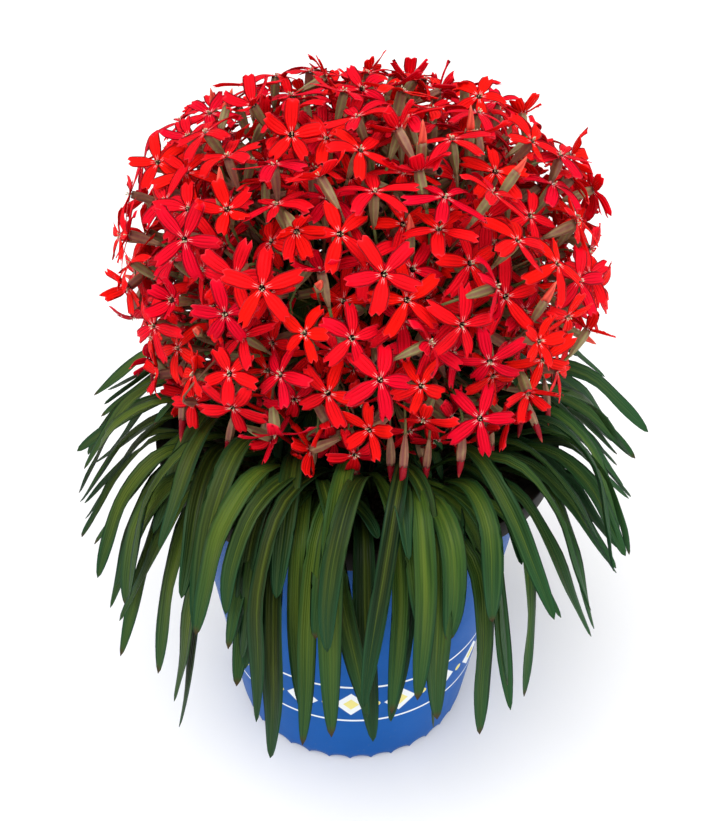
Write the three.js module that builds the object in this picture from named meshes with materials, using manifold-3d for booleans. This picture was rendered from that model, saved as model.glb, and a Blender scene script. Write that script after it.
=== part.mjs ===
// A potted fire pink: a mounded perennial with star-shaped scarlet blooms over a skirt of
// strap-shaped leaves, in a tapered nursery pot. Millimetres, +Z up, the origin in the middle
// of the pot's underside, the front towards -Y.
import * as THREE from "three";
import Module from "manifold-3d";

const wasm = await Module();
wasm.setup();

const degree = Math.PI / 180;
const goldenAngle = Math.PI * (3 - Math.sqrt(5));

// Driving dimensions of the pot
const rimRadius = 115;
const potHeight = 205;
const bodyTopRadius = 101.5;
const footRadius = 76.5;
const wall = 2.8;
const rimBand = 14;
const rimLip = 8.5;
const rimStep = 7.5;
const potSides = 36;
const scallopHeight = 3.6;
const footBand = 8;
const footFlare = 0.9;
const footFlat = 5;
const ledgeDrop = 5.4;

// The soil and the clearances around everything that is seated
const soilTop = 189;
const gap = 0.3;
const holeDepth = 9;
const stemHoleExtra = 0.8;

// Leaf tufts and their leaves
const tuftCount = 18;
const leavesPerTuft = 10;
const leafStations = [0.2, 0.42, 0.64, 0.84, 1];
const leafThickness = 1.3;

// The flower dome: a flattened round body that the bloom centres lie on
const domeCentreHeight = 300;
const domeRadius = 121;
const domeRise = 94;
const domeDrop = 80;
const domeRoundness = 2.4;
const domeLowestAngle = 118;
const lowestRise = Math.cos(domeLowestAngle * degree);
const sprayCount = 32;
const bloomCount = 372;
const budCount = 40;

// Plain vector sums on [x, y, z]
const add = (a, b) => [a[0] + b[0], a[1] + b[1], a[2] + b[2]];
const sub = (a, b) => [a[0] - b[0], a[1] - b[1], a[2] - b[2]];
const times = (a, k) => [a[0] * k, a[1] * k, a[2] * k];
const dot = (a, b) => a[0] * b[0] + a[1] * b[1] + a[2] * b[2];
const cross = (a, b) => [
  a[1] * b[2] - a[2] * b[1],
  a[2] * b[0] - a[0] * b[2],
  a[0] * b[1] - a[1] * b[0],
];
const length = (a) => Math.sqrt(dot(a, a));
const unit = (a) => times(a, 1 / length(a));
const mix = (a, b, t) => add(times(a, 1 - t), times(b, t));
const along = (origin, ...terms) => terms.reduce((p, [axis, k]) => add(p, times(axis, k)), origin);
const clamp01 = (x) => Math.min(1, Math.max(0, x));
const smooth = (x) => x * x * (3 - 2 * x);

const heading = (turn) => [Math.cos(turn), Math.sin(turn), 0];

// A seeded stream of numbers from 0 to 1, the same on every run
function seeded(seed) {
  let a = seed >>> 0;
  return () => {
    a = (a + 0x6d2b79f5) >>> 0;
    let t = a;
    t = Math.imul(t ^ (t >>> 15), t | 1);
    t ^= t + Math.imul(t ^ (t >>> 7), t | 61);
    return ((t ^ (t >>> 14)) >>> 0) / 4294967296;
  };
}

// Balls stand in for thin pieces while their places are being chosen: [x, y, z, radius] each,
// in short runs, with the box that each run fills and the box around them all
const runLength = 12;
function runsOf(balls) {
  const runs = [];
  for (let i = 0; i < balls.length; i += runLength) {
    const run = balls.slice(i, i + runLength);
    const low = [0, 1, 2].map((k) => Math.min(...run.map((ball) => ball[k] - ball[3])));
    const high = [0, 1, 2].map((k) => Math.max(...run.map((ball) => ball[k] + ball[3])));
    runs.push({ run, low, high });
  }
  const low = [0, 1, 2].map((k) => Math.min(...runs.map((run) => run.low[k])));
  const high = [0, 1, 2].map((k) => Math.max(...runs.map((run) => run.high[k])));
  return { runs, low, high };
}

function ballsMeet(run, others, space) {
  return run.some(([px, py, pz, pr]) =>
    others.some(([qx, qy, qz, qr]) => {
      const reach = pr + qr + space;
      return (px - qx) ** 2 + (py - qy) ** 2 + (pz - qz) ** 2 < reach * reach;
    }),
  );
}

const boxesMeet = (a, b, space) =>
  [0, 1, 2].every((k) => a.low[k] < b.high[k] + space && b.low[k] < a.high[k] + space);

const meets = (shape, others, space) =>
  others.some(
    (other) =>
      boxesMeet(shape, other, space) &&
      other.runs.some(
        (b) =>
          boxesMeet(shape, b, space) &&
          shape.runs.some((a) => boxesMeet(a, b, space) && ballsMeet(a.run, b.run, space)),
      ),
  );

// The faces between two rings of points, the second seen past the first
function bridge(ringA, ringB) {
  const [na, nb] = [ringA.length, ringB.length];
  const faces = [];
  let [i, j] = [0, 0];
  while ((na > 1 && i < na) || (nb > 1 && j < nb)) {
    const nextA = nb === 1 || (na > 1 && i < na && (j >= nb || (i + 0.5) / na <= (j + 0.5) / nb));
    if (nextA) {
      faces.push([ringA[i % na], ringA[(i + 1) % na], ringB[j % nb]]);
      i += 1;
    } else {
      faces.push([ringA[i % na], ringB[(j + 1) % nb], ringB[j % nb]]);
      j += 1;
    }
  }
  return faces;
}

// A solid from faces that share their corner points
function solidFrom(faces) {
  const places = new Map();
  faces.flat().forEach((p) => places.has(p) || places.set(p, places.size));
  return new wasm.Manifold(
    new wasm.Mesh({
      numProp: 3,
      vertProperties: new Float32Array([...places.keys()].flat()),
      triVerts: new Uint32Array(faces.flat().map((p) => places.get(p))),
    }),
  );
}

const fan = (ring) => ring.slice(2).map((p, i) => [ring[0], ring[i + 1], p]);

// A solid from rings: each is joined to the next, and an end of three or more points is closed flat
function ringSolid(rings) {
  const sides = rings.slice(1).flatMap((ring, r) => bridge(rings[r], ring));
  return solidFrom([...fan([...rings[0]].reverse()), ...sides, ...fan(rings.at(-1))]);
}

// A post of three-cornered rings, with its side faces kept apart so that limbs can grow from them
function post(rings) {
  const faces = new Map([
    ["foot", [...rings[0]].reverse()],
    ["top", rings.at(-1)],
  ]);
  rings.slice(1).forEach((ring, i) =>
    [0, 1, 2].forEach((j) => {
      const k = (j + 1) % 3;
      faces.set(`${i},${j},lower`, [rings[i][j], rings[i][k], ring[k]]);
      faces.set(`${i},${j},upper`, [rings[i][j], ring[k], ring[j]]);
    }),
  );
  return faces;
}

// A limb is drawn out of one face: through its rings, to a point where the last has one
function limb(base, rings) {
  let last = base;
  return rings.flatMap((ring) => {
    const far = (p) => length(sub(p, last[0]));
    const first = ring.length > 3 ? ring.reduce((best, p, i) => (far(p) < far(ring[best]) ? i : best), 0) : 0;
    const next = [...ring.slice(first), ...ring.slice(0, first)];
    const faces = bridge(last, next);
    last = next;
    return faces;
  });
}

function grow(faces, name, rings) {
  const drawn = limb(faces.get(name), rings);
  faces.delete(name);
  drawn.forEach((face, i) => faces.set(`${name} ${i}`, face));
}

// Whether the line from p to q passes through a triangle
function pierces(p, q, [a, b, c]) {
  const [ab, ac, pq] = [sub(b, a), sub(c, a), sub(q, p)];
  const h = cross(pq, ac);
  const size = dot(ab, h);
  if (Math.abs(size) < 1e-9) return false;
  const s = sub(p, a);
  const u = dot(s, h) / size;
  const k = cross(s, ab);
  const v = dot(pq, k) / size;
  const t = dot(ac, k) / size;
  return u > 0 && v > 0 && u + v < 1 && t > 0 && t < 1;
}

const edgesOf = ([a, b, c]) => [[a, b], [b, c], [c, a]];
const spanOf = (face) => ({
  face,
  low: [0, 1, 2].map((k) => Math.min(face[0][k], face[1][k], face[2][k])),
  high: [0, 1, 2].map((k) => Math.max(face[0][k], face[1][k], face[2][k])),
});

// Whether any face of one list crosses one of the other, corners that they share aside
function crosses(facesA, facesB) {
  const spans = facesB.map(spanOf);
  return facesA.map(spanOf).some((a) =>
    spans.some((b) => {
      if (!boxesMeet(a, b, 0) || a.face.some((p) => b.face.includes(p))) return false;
      return edgesOf(a.face).some(([p, q]) => pierces(p, q, b.face)) ||
        edgesOf(b.face).some(([p, q]) => pierces(p, q, a.face));
    }),
  );
}

const circle = (radius, height, sides, phase = 0) =>
  Array.from({ length: sides }, (_, i) => {
    const turn = ((i + phase) / sides) * 2 * Math.PI;
    return [radius * Math.cos(turn), radius * Math.sin(turn), height];
  });

// Three corners around a line, turned to follow a side direction
function triangle(centre, axis, side, radius) {
  const u = unit(sub(side, times(axis, dot(side, axis))));
  const v = cross(axis, u);
  return [0, 120, 240].map((a) =>
    along(centre, [u, radius * Math.cos(a * degree)], [v, radius * Math.sin(a * degree)]),
  );
}

// The flowering stems: a spray's knot lies inside the dome, on a line that fans out of the soil
const knotDepth = 0.56;
function sprayStems() {
  return Array.from({ length: sprayCount }, (_, k) => {
    const rise = 1 - ((k + 0.5) / sprayCount) * (1 - lowestRise);
    const reach = Math.sqrt(1 - rise * rise);
    const turn = k * goldenAngle;
    const out = knotDepth * domeRadius * reach;
    const up = knotDepth * (rise > 0 ? domeRise : domeDrop) * rise;
    const knot = [out * Math.cos(turn), out * Math.sin(turn), domeCentreHeight - 6 + up];
    const foot = [0.5 * knot[0], 0.5 * knot[1], soilTop - holeDepth];
    const bow = [0.66 * knot[0], 0.66 * knot[1], 0.45 * foot[2] + 0.55 * knot[2]];
    return { foot, bow, knot };
  });
}

// A point of a stem: a quadratic curve from foot to knot that leans towards the bow
function stemPoint(stem, t) {
  const first = mix(stem.foot, stem.bow, t);
  const second = mix(stem.bow, stem.knot, t);
  return mix(first, second, t);
}

// The lowest share of a stem is straight, and balls fill all of it
const straightShare = 0.25;
const stemSamples = 80;
const stemBalls = (stem) =>
  Array.from({ length: stemSamples }, (_, i) => [...stemPoint(stem, i / (stemSamples - 1)), 1.6]);

// A leaf's half width at share t of its length: a narrow stalk, widest past the middle, a blunt tip
const stalkShare = 0.34;
const broadest = 0.64;
const tipPower = 0.62;
function leafHalfWidth(leaf, t) {
  const opening = stalkShare + (1 - stalkShare) * Math.sin((Math.PI / 2) * Math.min(1, t / broadest));
  const past = Math.max(0, (t - broadest) / (1 - broadest));
  return leaf.halfWidth * opening * Math.pow(1 - past * past, tipPower);
}

// Points of a leaf's midrib: its slope turns from rising to hanging over the rim
const bendStart = 0.08;
function leafLine(leaf, count) {
  const step = leaf.length / (count - 1);
  const points = [leaf.root];
  const sides = [];
  for (let i = 0; i < count; i += 1) {
    const t = i / (count - 1);
    const heading = leaf.heading + leaf.sweep * t * t;
    const bent = smooth(clamp01((t - bendStart) / (leaf.bendEnd - bendStart)));
    const slope = leaf.rise + (leaf.fall - leaf.rise) * bent;
    const roll = leaf.roll * t;
    const ahead = [Math.cos(heading), Math.sin(heading), 0];
    const left = [-ahead[1], ahead[0], 0];
    const tangent = along([0, 0, 0], [ahead, Math.cos(slope)], [[0, 0, 1], Math.sin(slope)]);
    const normal = cross(tangent, left);
    sides.push(along([0, 0, 0], [left, Math.cos(roll)], [normal, Math.sin(roll)]));
    if (i < count - 1) points.push(along(points[i], [tangent, step]));
  }
  return { points, sides };
}

// What a leaf is at its root and at each station: a point of its midrib, its side and underside
const leafSamples = 51;
function leafFrames(leaf) {
  const { points, sides } = leafLine(leaf, leafSamples);
  const fine = leafSamples - 1;
  return [0, ...leafStations].map((t) => {
    const i = Math.round(t * fine);
    const tangent = unit(sub(points[Math.min(fine, i + 1)], points[Math.max(0, i - 1)]));
    const down = unit(cross(sides[i], tangent));
    return { point: points[i], side: sides[i], down, half: t === 1 ? 0.4 : leafHalfWidth(leaf, t) };
  });
}

// Balls along a leaf's straight stretches, six across its width
const stretchBalls = 12;
function leafBalls(leaf) {
  const frames = leafFrames(leaf);
  return frames.slice(1).flatMap((far, i) =>
    Array.from({ length: stretchBalls }, (_, j) => {
      const t = (j + 0.5) / stretchBalls;
      const half = (1 - t) * frames[i].half + t * far.half;
      const side = mix(frames[i].side, far.side, t);
      const middle = along(mix(frames[i].point, far.point, t), [far.down, 0.4 * leafThickness]);
      return [-0.85, -0.5, -0.17, 0.17, 0.5, 0.85].map((k) => [
        ...along(middle, [side, k * half]),
        0.17 * half + (Math.abs(k) < 0.4 ? 0.8 : 0.5),
      ]);
    }).flat(),
  );
}

// A leaf stays clear of the pot's rim and body, above the soil once it has left its crown, and
// within the skirt's own reach and height, which is least at the front
const rootBalls = 24;
const lowestLeafTip = 62;
const leafReach = 162;
const leafTop = 244;
const leafTopRise = 12;
function clearOfPot(balls) {
  return balls.every(([x, y, z, r], i) => {
    const out = Math.sqrt(x * x + y * y);
    if (z < lowestLeafTip || z > leafTop + leafTopRise * (1 + y / out) || out > leafReach) return false;
    if (out < bodyTopRadius - 4) return i < rootBalls || z - r > soilTop;
    if (out < rimRadius + 2 + r) return z - r > potHeight + 1;
    return true;
  });
}

// The tufts stand in a ring, turn about nearer to and further from the middle
const tuftCrown = (k) => {
  const turn = ((k + 0.5) / tuftCount) * 2 * Math.PI;
  const out = k % 2 ? 57 : 70;
  return { turn, inner: k % 2 === 1, point: [out * Math.cos(turn), out * Math.sin(turn), soilTop + 2] };
};

// How the leaves leave their crown, from the lowest to the highest: those at the front are
// longer and hang down, the others spread further out, and each trial bends a leaf less sharply
const lowestLeafRise = 34;
const leafRiseStep = 2.2;
const innerLeafRise = 4;
const leafTurns = [0, -28, 28, -13, 13, -40, 40, 4, -20, 20];
const rootSpacing = 2.6;
function proposeLeaf(tuft, m, order, random, patience) {
  const either = () => 2 * random() - 1;
  const layer = m / (leavesPerTuft - 1);
  const swing = 10 + 28 * patience;
  const front = Math.pow(0.5 - 0.5 * Math.sin(tuft.turn), 3);
  const rise = lowestLeafRise + leafRiseStep * m + (tuft.inner ? innerLeafRise : 0);
  return {
    root: add(tuft.point, [0, 0, order * rootSpacing]),
    order,
    heading: tuft.turn + (leafTurns[m] + swing * either()) * degree,
    sweep: (16 + 12 * patience) * degree * either(),
    rise: (rise + (4 + 9 * patience) * either()) * degree,
    fall: (-48 - 34 * Math.pow(front, 2.2) + (10 + 8 * patience) * either()) * degree,
    bendEnd: 0.62 + 0.16 * patience + 0.12 * layer - 0.12 * front + 0.08 * either(),
    length: (108 + 56 * front + 18 * layer) * (1 + (0.13 + 0.08 * patience) * either()),
    roll: 34 * degree * either(),
    halfWidth: 5.1 + 0.9 * either(),
  };
}

const leafClearance = 0.4;
const leafTrials = 320;
function growLeaves(stems) {
  const tufts = Array.from({ length: tuftCount }, (_, k) => {
    const crown = tuftCrown(k);
    return { ...crown, leaves: [], body: crownPost(crown, leavesPerTuft) };
  });
  const standing = stems.map((stem) => runsOf(stemBalls(stem)));
  const placed = [];
  Array.from({ length: leavesPerTuft }, (_, m) =>
    tufts.forEach((tuft, k) => {
      const random = seeded(4000 + 100 * m + k);
      for (let trial = 0; trial < leafTrials; trial += 1) {
        const leaf = proposeLeaf(tuft, m, tuft.leaves.length, random, trial / leafTrials);
        const balls = leafBalls(leaf);
        if (!clearOfPot(balls)) continue;
        const runs = runsOf(balls);
        const outer = runsOf(balls.slice(rootBalls));
        const mine = placed.filter((p) => p.tuft === k).map((p) => p.outer);
        const near = placed.filter((p) => p.tuft !== k).map((p) => p.runs);
        if (meets(runs, near, leafClearance)) continue;
        if (meets(runs, standing, leafClearance)) continue;
        if (meets(outer, mine, 0.2)) continue;
        const base = tuft.body.get(leafFace(leaf.order));
        const drawn = limb(base, leafRings(leaf));
        if (crosses(drawn, [...tuft.body.values(), ...drawn].filter((face) => face !== base))) continue;
        grow(tuft.body, leafFace(leaf.order), leafRings(leaf));
        tuft.leaves.push(leaf);
        placed.push({ tuft: k, runs, outer, balls });
        return;
      }
    }),
  );
  return { tufts, balls: placed.map((p) => p.balls) };
}

// A point of the dome in a direction from its middle, and the dome's own slope there
function domePoint(turn, rise, share) {
  const reach = Math.sqrt(1 - rise * rise);
  const height = rise > 0 ? domeRise : domeDrop;
  const n = domeRoundness;
  const size = Math.pow(reach / domeRadius, n) + Math.pow(Math.abs(rise) / height, n);
  const k = Math.pow(size, -1 / n);
  const point = [
    share * k * reach * Math.cos(turn),
    share * k * reach * Math.sin(turn),
    domeCentreHeight + share * k * rise,
  ];
  const outSlope = Math.pow((k * reach) / domeRadius, n - 1) / domeRadius;
  const upSlope = (Math.sign(rise) * Math.pow((k * Math.abs(rise)) / height, n - 1)) / height;
  return { point, normal: unit([outSlope * Math.cos(turn), outSlope * Math.sin(turn), upSlope]) };
}

const calyxLength = 15;

// Balls along a flower's calyx and stalk, from the bloom down to its stem
function stalkBalls(flower) {
  const calyxFoot = along(flower.centre, [flower.normal, -calyxLength]);
  const calyx = [2, 5, 8, 11, 14].map((d) => [...along(flower.centre, [flower.normal, -d]), 2.5 - 0.1 * d]);
  const run = length(sub(flower.foot, calyxFoot));
  const count = Math.ceil(run / 1.5);
  const stalk = Array.from({ length: count }, (_, i) => [...mix(calyxFoot, flower.foot, i / count), 1.1]);
  return [...calyx, ...stalk];
}

// Pairs of balls along each petal, spaced further apart towards its broad end
function petalBalls(flower) {
  return flower.petals.flatMap((petal) => {
    const ahead = along([0, 0, 0], [flower.side, Math.cos(petal.turn)], [flower.up, Math.sin(petal.turn)]);
    const across = cross(flower.normal, ahead);
    return [0.24, 0.4, 0.55, 0.7, 0.85, 0.97].flatMap((s) => {
      const middle = along(flower.centre, [ahead, s * petal.length], [flower.normal, s * petal.lift - 0.3]);
      return [-0.5, 0.5].map((k) => [...along(middle, [across, k * s * petal.halfWidth]), 0.9 + s]);
    });
  });
}

const budBalls = (flower) =>
  [0, 3, 6, 9].map((d) => [...along(flower.centre, [flower.normal, d]), 2.3 - 0.15 * d]);

function nearestStem(stems, point) {
  const far = stems.map((stem) => length(sub(point, stem.knot)));
  return far.indexOf(Math.min(...far));
}

// The flower faces outwards, leaning up and a little at random; those of deeper layers are plainer
const bloomLayers = [1, 0.85, 0.96, 0.9, 0.99, 0.78, 0.94];
const outerLayer = 0.91;
function proposeBloom(stems, i, random, patience) {
  const layer = i % bloomLayers.length;
  const rise = 1 - ((i + 0.5) / bloomCount) * (1 - lowestRise);
  const drift = 0.03 + 0.12 * patience;
  const turn = i * goldenAngle + 1.1 + (drift * (2 * random() - 1)) / Math.sqrt(1.02 - rise * rise);
  const height = Math.max(lowestRise, Math.min(0.999, rise + drift * (2 * random() - 1)));
  const share = bloomLayers[layer] - 0.12 * patience * random();
  const { point, normal } = domePoint(turn, height, share);
  const stray = [2 * random() - 1, 2 * random() - 1, 2 * random() - 1];
  const facing = unit(along(normal, [[0, 0, 1], 0.2], [stray, 0.42 + 0.25 * patience]));
  const flat = unit(cross(facing, [0.31, 0.2, 0.93]));
  const spin = 2 * Math.PI * random();
  const across = cross(facing, flat);
  const side = along([0, 0, 0], [flat, Math.cos(spin)], [across, Math.sin(spin)]);
  const lift = 1.5 - 5 * random();
  const size = 15.6 + 2.4 * random();
  const petals = Array.from({ length: 5 }, (_, k) => ({
    turn: (k * 72 + 12 * (random() - 0.5)) * degree,
    length: size * (0.93 + 0.14 * random()),
    lift: lift + 2.6 * (random() - 0.5),
    halfWidth: 3.3 + 0.6 * random(),
  }));
  const spray = nearestStem(stems, point);
  return {
    spray,
    centre: point,
    normal: facing,
    side,
    up: cross(facing, side),
    petals,
    form: layer === 0 ? "notched" : share > outerLayer ? "plain" : "star",
  };
}

function proposeBud(stems, i, random, patience) {
  const rise = 1 - ((i + 0.5) / budCount) * (1 - lowestRise);
  const turn = i * goldenAngle + 2.9 + (0.2 + patience) * (2 * random() - 1);
  const share = 0.86 + 0.14 * random();
  const height = Math.max(lowestRise, Math.min(0.99, rise + 0.1 * (random() - 0.5)));
  const { point, normal } = domePoint(turn, height, share);
  const stray = [2 * random() - 1, 2 * random() - 1, 2 * random() - 1];
  const facing = unit(along(normal, [[0, 0, 1], 0.3], [stray, 0.7]));
  const spray = nearestStem(stems, point);
  return { spray, centre: point, normal: facing, tip: 6 + 5 * random() };
}

const bloomTrials = 300;
const bloomClearance = 0.5;
const nearby = 75;
const leastLean = 0.16;
const bestLean = 0.5;
const straightest = 0.4;

// The free face of its stem that a stalk leaves best: neither flat along it nor square to it
function stalkFace(body, flower) {
  const calyxEnd = along(flower.centre, [flower.normal, -calyxLength]);
  let best = null;
  body.forEach(([a, b, c], name) => {
    if (name !== "top" && !name.endsWith(",lower")) return;
    if (name.startsWith("0,") || name.startsWith("1,")) return;
    const foot = times(add(add(a, b), c), 1 / 3);
    const towards = unit(sub(calyxEnd, foot));
    const lean = dot(towards, unit(cross(sub(b, a), sub(c, a))));
    if (lean < leastLean || dot(flower.normal, towards) < straightest) return;
    const miss = Math.abs(lean - bestLean) + (name === "top" ? -0.4 : 0);
    if (!best || miss < best.miss) best = { name, foot, miss };
  });
  return best;
}

function growFlowers(stems, leafBallLists) {
  const stemRuns = stems.map((stem) => runsOf(stemBalls(stem)));
  const leafRuns = leafBallLists.map((list) => runsOf(list.filter((b) => b[2] > potHeight)));
  const bodies = stems.map(stemPost);
  const placed = [];
  const settle = (propose, seed, i) => {
    const random = seeded(seed + i);
    for (let trial = 0; trial < bloomTrials; trial += 1) {
      const flower = propose(stems, i, random, trial / bloomTrials);
      const body = bodies[flower.spray];
      const face = stalkFace(body, flower);
      if (!face) continue;
      flower.foot = face.foot;
      const stalk = stalkBalls(flower);
      const head = runsOf(flower.petals ? petalBalls(flower) : budBalls(flower));
      const whole = runsOf(stalk);
      const upper = runsOf(stalk.slice(0, -3));
      const near = placed.filter((p) => length(sub(p.centre, flower.centre)) < nearby);
      const others = near.filter((p) => p.spray !== flower.spray);
      const kin = near.filter((p) => p.spray === flower.spray);
      const foreign = stemRuns.filter((_, k) => k !== flower.spray);
      if (meets(head, near.map((p) => p.head), bloomClearance)) continue;
      if (meets(head, near.map((p) => p.whole), bloomClearance)) continue;
      if (meets(whole, near.map((p) => p.head), bloomClearance)) continue;
      if (meets(whole, others.map((p) => p.whole), bloomClearance)) continue;
      if (meets(upper, kin.map((p) => p.upper), 0.1)) continue;
      if (meets(head, stemRuns, bloomClearance)) continue;
      if (meets(whole, foreign, bloomClearance)) continue;
      if (meets(head, leafRuns, bloomClearance)) continue;
      if (meets(whole, leafRuns, bloomClearance)) continue;
      const base = body.get(face.name);
      const drawn = limb(base, flowerRings(flower, base));
      if (crosses(drawn, [...body.values(), ...drawn].filter((other) => other !== base))) continue;
      grow(body, face.name, flowerRings(flower, base));
      placed.push({ spray: flower.spray, centre: flower.centre, head, whole, upper });
      return;
    }
  };
  let buds = 0;
  for (let i = 0; i < bloomCount; i += 1) {
    settle(proposeBloom, 7000, i);
    if (buds < Math.floor(((i + 1) * budCount) / bloomCount)) {
      settle(proposeBud, 9000, buds);
      buds += 1;
    }
  }
  return bodies;
}

// The side direction that turns a triangle about an axis to match the corners of an earlier one
function matchingSide(corners, axis) {
  const middle = times(corners.reduce(add), 1 / 3);
  return corners.reduce((side, p, k) => {
    const turn = -120 * k * degree;
    const out = sub(p, middle);
    return along(side, [out, Math.cos(turn)], [cross(axis, out), Math.sin(turn)]);
  }, [0, 0, 0]);
}

// The pot: a tapered shell with a thick rolled rim and a scalloped foot
function potSolid() {
  const foot = circle(footRadius, 0, 2 * potSides).map(([x, y], i) => [x, y, i % 2 ? scallopHeight : 0]);
  return ringSolid([
    [[0, 0, 0]],
    circle(footRadius - footFlat, 0, potSides),
    foot,
    circle(footRadius + footFlare, footBand, potSides),
    circle(bodyTopRadius, potHeight - rimBand, potSides),
    circle(rimRadius - 1.5, potHeight - rimBand, potSides),
    circle(rimRadius, potHeight, potSides),
    circle(rimRadius - rimLip, potHeight, potSides),
    circle(rimRadius - rimLip - 0.6, potHeight - ledgeDrop + 0.4, potSides),
    circle(rimRadius - rimLip - rimStep, potHeight - ledgeDrop, potSides),
    circle(footRadius - wall, wall, potSides),
    [[0, 0, wall]],
  ]);
}

// The pot's inner radius at a height, for what fills it
function innerRadius(height) {
  const top = rimRadius - rimLip - rimStep;
  const share = (height - wall) / (potHeight - ledgeDrop - wall);
  return footRadius - wall + share * (top - (footRadius - wall));
}

const stemRadius = 1.7;
const stemThinning = 0.3;
const crownRadius = 5;
const crownFoot = soilTop - holeDepth + 2;
const sideways = [0.11, 0.97, 0.2];
const holeReach = 40;

// A hole for a stem: a slightly larger three-sided prism along the stem's own line
function stemHole(stem) {
  const axis = unit(sub(stemPoint(stem, straightShare), stem.foot));
  const start = along(stem.foot, [axis, -gap]);
  const radius = stemRadius + stemHoleExtra;
  return ringSolid([
    triangle(start, axis, sideways, radius),
    triangle(along(start, [axis, holeReach]), axis, sideways, radius),
  ]);
}

// Three corners of a tuft's crown, with a flat side to the front of its leaves
const postRing = (tuft, height, radius = crownRadius) =>
  triangle([tuft.point[0], tuft.point[1], height], [0, 0, 1], heading(tuft.turn - 60 * degree), radius);

function soilSolid(stems, tufts) {
  const filled = ringSolid([
    circle(innerRadius(wall + gap) - gap, wall + gap, potSides),
    circle(innerRadius(soilTop) - gap, soilTop, potSides),
  ]);
  const crownHoles = tufts.map((tuft) =>
    ringSolid([
      postRing(tuft, crownFoot - gap, crownRadius + 2 * gap),
      postRing(tuft, crownFoot + holeReach, crownRadius + 2 * gap),
    ]),
  );
  return filled.subtract(wasm.Manifold.union([...stems.map(stemHole), ...crownHoles]));
}

// A stem's rings: straight through its hole, then one at each step where stalks leave it
const stalkSteps = 6;
const stalkStep = 0.05;
function stemPost(stem) {
  const low = stemPoint(stem, straightShare);
  const axis = unit(sub(low, stem.foot));
  const top = unit(sub(stem.knot, stemPoint(stem, 0.5)));
  const rings = [triangle(stem.foot, axis, sideways, stemRadius), triangle(low, axis, sideways, stemRadius)];
  for (let i = stalkSteps; i >= 0; i -= 1) {
    rings.push(triangle(stemPoint(stem, 1 - stalkStep * i), top, sideways, stemRadius - stemThinning));
  }
  return post(rings);
}

// The rings of a flower: the calyx's narrow foot and its throat, the petals' outline, the middle
function flowerRings(flower, base) {
  const { centre, normal } = flower;
  const calyxEnd = along(centre, [normal, -calyxLength]);
  const bisector = unit(add(unit(sub(calyxEnd, flower.foot)), normal));
  const calyxFoot = triangle(calyxEnd, bisector, matchingSide(base, bisector), 0.9);
  const throatSide = matchingSide(calyxFoot, normal);
  if (!flower.petals) {
    const widest = triangle(along(centre, [normal, -3]), normal, throatSide, 2.5);
    return [calyxFoot, widest, [along(centre, [normal, flower.tip])]];
  }
  const outline = flower.petals.flatMap((petal) => {
    const at = (turn, out, height) => {
      const ahead = along([0, 0, 0], [flower.side, Math.cos(turn)], [flower.up, Math.sin(turn)]);
      return along(centre, [ahead, out], [normal, height]);
    };
    const lobe = petal.halfWidth / petal.length;
    const valley = at(petal.turn - 36 * degree, 2.4, 0);
    if (flower.form === "star") return [valley, at(petal.turn, petal.length, petal.lift)];
    const notch = flower.form === "notched" ? [at(petal.turn, 0.84 * petal.length, 0.86 * petal.lift)] : [];
    const [left, right] = [-lobe, lobe].map((aside) => at(petal.turn + aside, petal.length, petal.lift));
    return [valley, left, ...notch, right];
  });
  return [
    calyxFoot,
    triangle(along(centre, [normal, -1.5]), normal, throatSide, 2.3),
    outline,
    [along(centre, [normal, 0.5])],
  ];
}

// The rings of a leaf: a keel under its midrib and its two edges, then its tip
function leafRings(leaf) {
  const frames = leafFrames(leaf).slice(1);
  const rings = frames.slice(0, -1).map(({ point, side, down, half }) => [
    along(point, [down, leafThickness]),
    along(point, [side, half]),
    along(point, [side, -half]),
  ]);
  return [...rings, [frames.at(-1).point]];
}

// A tuft: a short crown whose outer side has a step for each leaf
function crownPost(tuft, steps) {
  const heights = Array.from({ length: steps + 1 }, (_, i) => tuft.point[2] + (i - 0.5) * rootSpacing);
  return post([crownFoot, ...heights].map((height) => postRing(tuft, height)));
}

const leafFace = (order) => `${1 + order},0,upper`;

function tuftSolid(tuft) {
  const faces = crownPost(tuft, tuft.leaves.length);
  tuft.leaves.forEach((leaf, i) => grow(faces, leafFace(i), leafRings(leaf)));
  return solidFrom([...faces.values()]);
}

// A solid as a three.js mesh with the colour that its piece shows
function meshOf(name, solid, colour, roughness) {
  const { numProp, vertProperties, triVerts } = solid.getMesh();
  const count = vertProperties.length / numProp;
  const points = new Float32Array(count * 3);
  for (let i = 0; i < count; i += 1) {
    points.set(vertProperties.subarray(i * numProp, i * numProp + 3), i * 3);
  }
  const geometry = new THREE.BufferGeometry();
  geometry.setAttribute("position", new THREE.BufferAttribute(points, 3));
  geometry.setIndex(new THREE.BufferAttribute(triVerts, 1));
  geometry.computeVertexNormals();
  const material = new THREE.MeshStandardMaterial({ color: colour, roughness, metalness: 0 });
  const mesh = new THREE.Mesh(geometry, material);
  mesh.name = name;
  return mesh;
}

const numbered = (word, k) => `${word}_${String(k + 1).padStart(2, "0")}`;

const stems = sprayStems();
const { tufts, balls } = growLeaves(stems);
const sprays = growFlowers(stems, balls);

const plant = new THREE.Group();
plant.name = "potted_fire_pink";
plant.add(meshOf("pot", potSolid(), 0x2462b8, 0.35));
plant.add(meshOf("soil", soilSolid(stems, tufts), 0x241a14, 0.95));
tufts.forEach((tuft, k) => {
  plant.add(meshOf(numbered("leaf_tuft", k), tuftSolid(tuft), 0x3c6a2c, 0.5));
});
sprays.forEach((faces, k) => {
  plant.add(meshOf(numbered("flower_spray", k), solidFrom([...faces.values()]), 0xe0141c, 0.5));
});

export default plant;
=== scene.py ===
import math

import bpy
import numpy as np
from mathutils import Matrix, Vector


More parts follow.
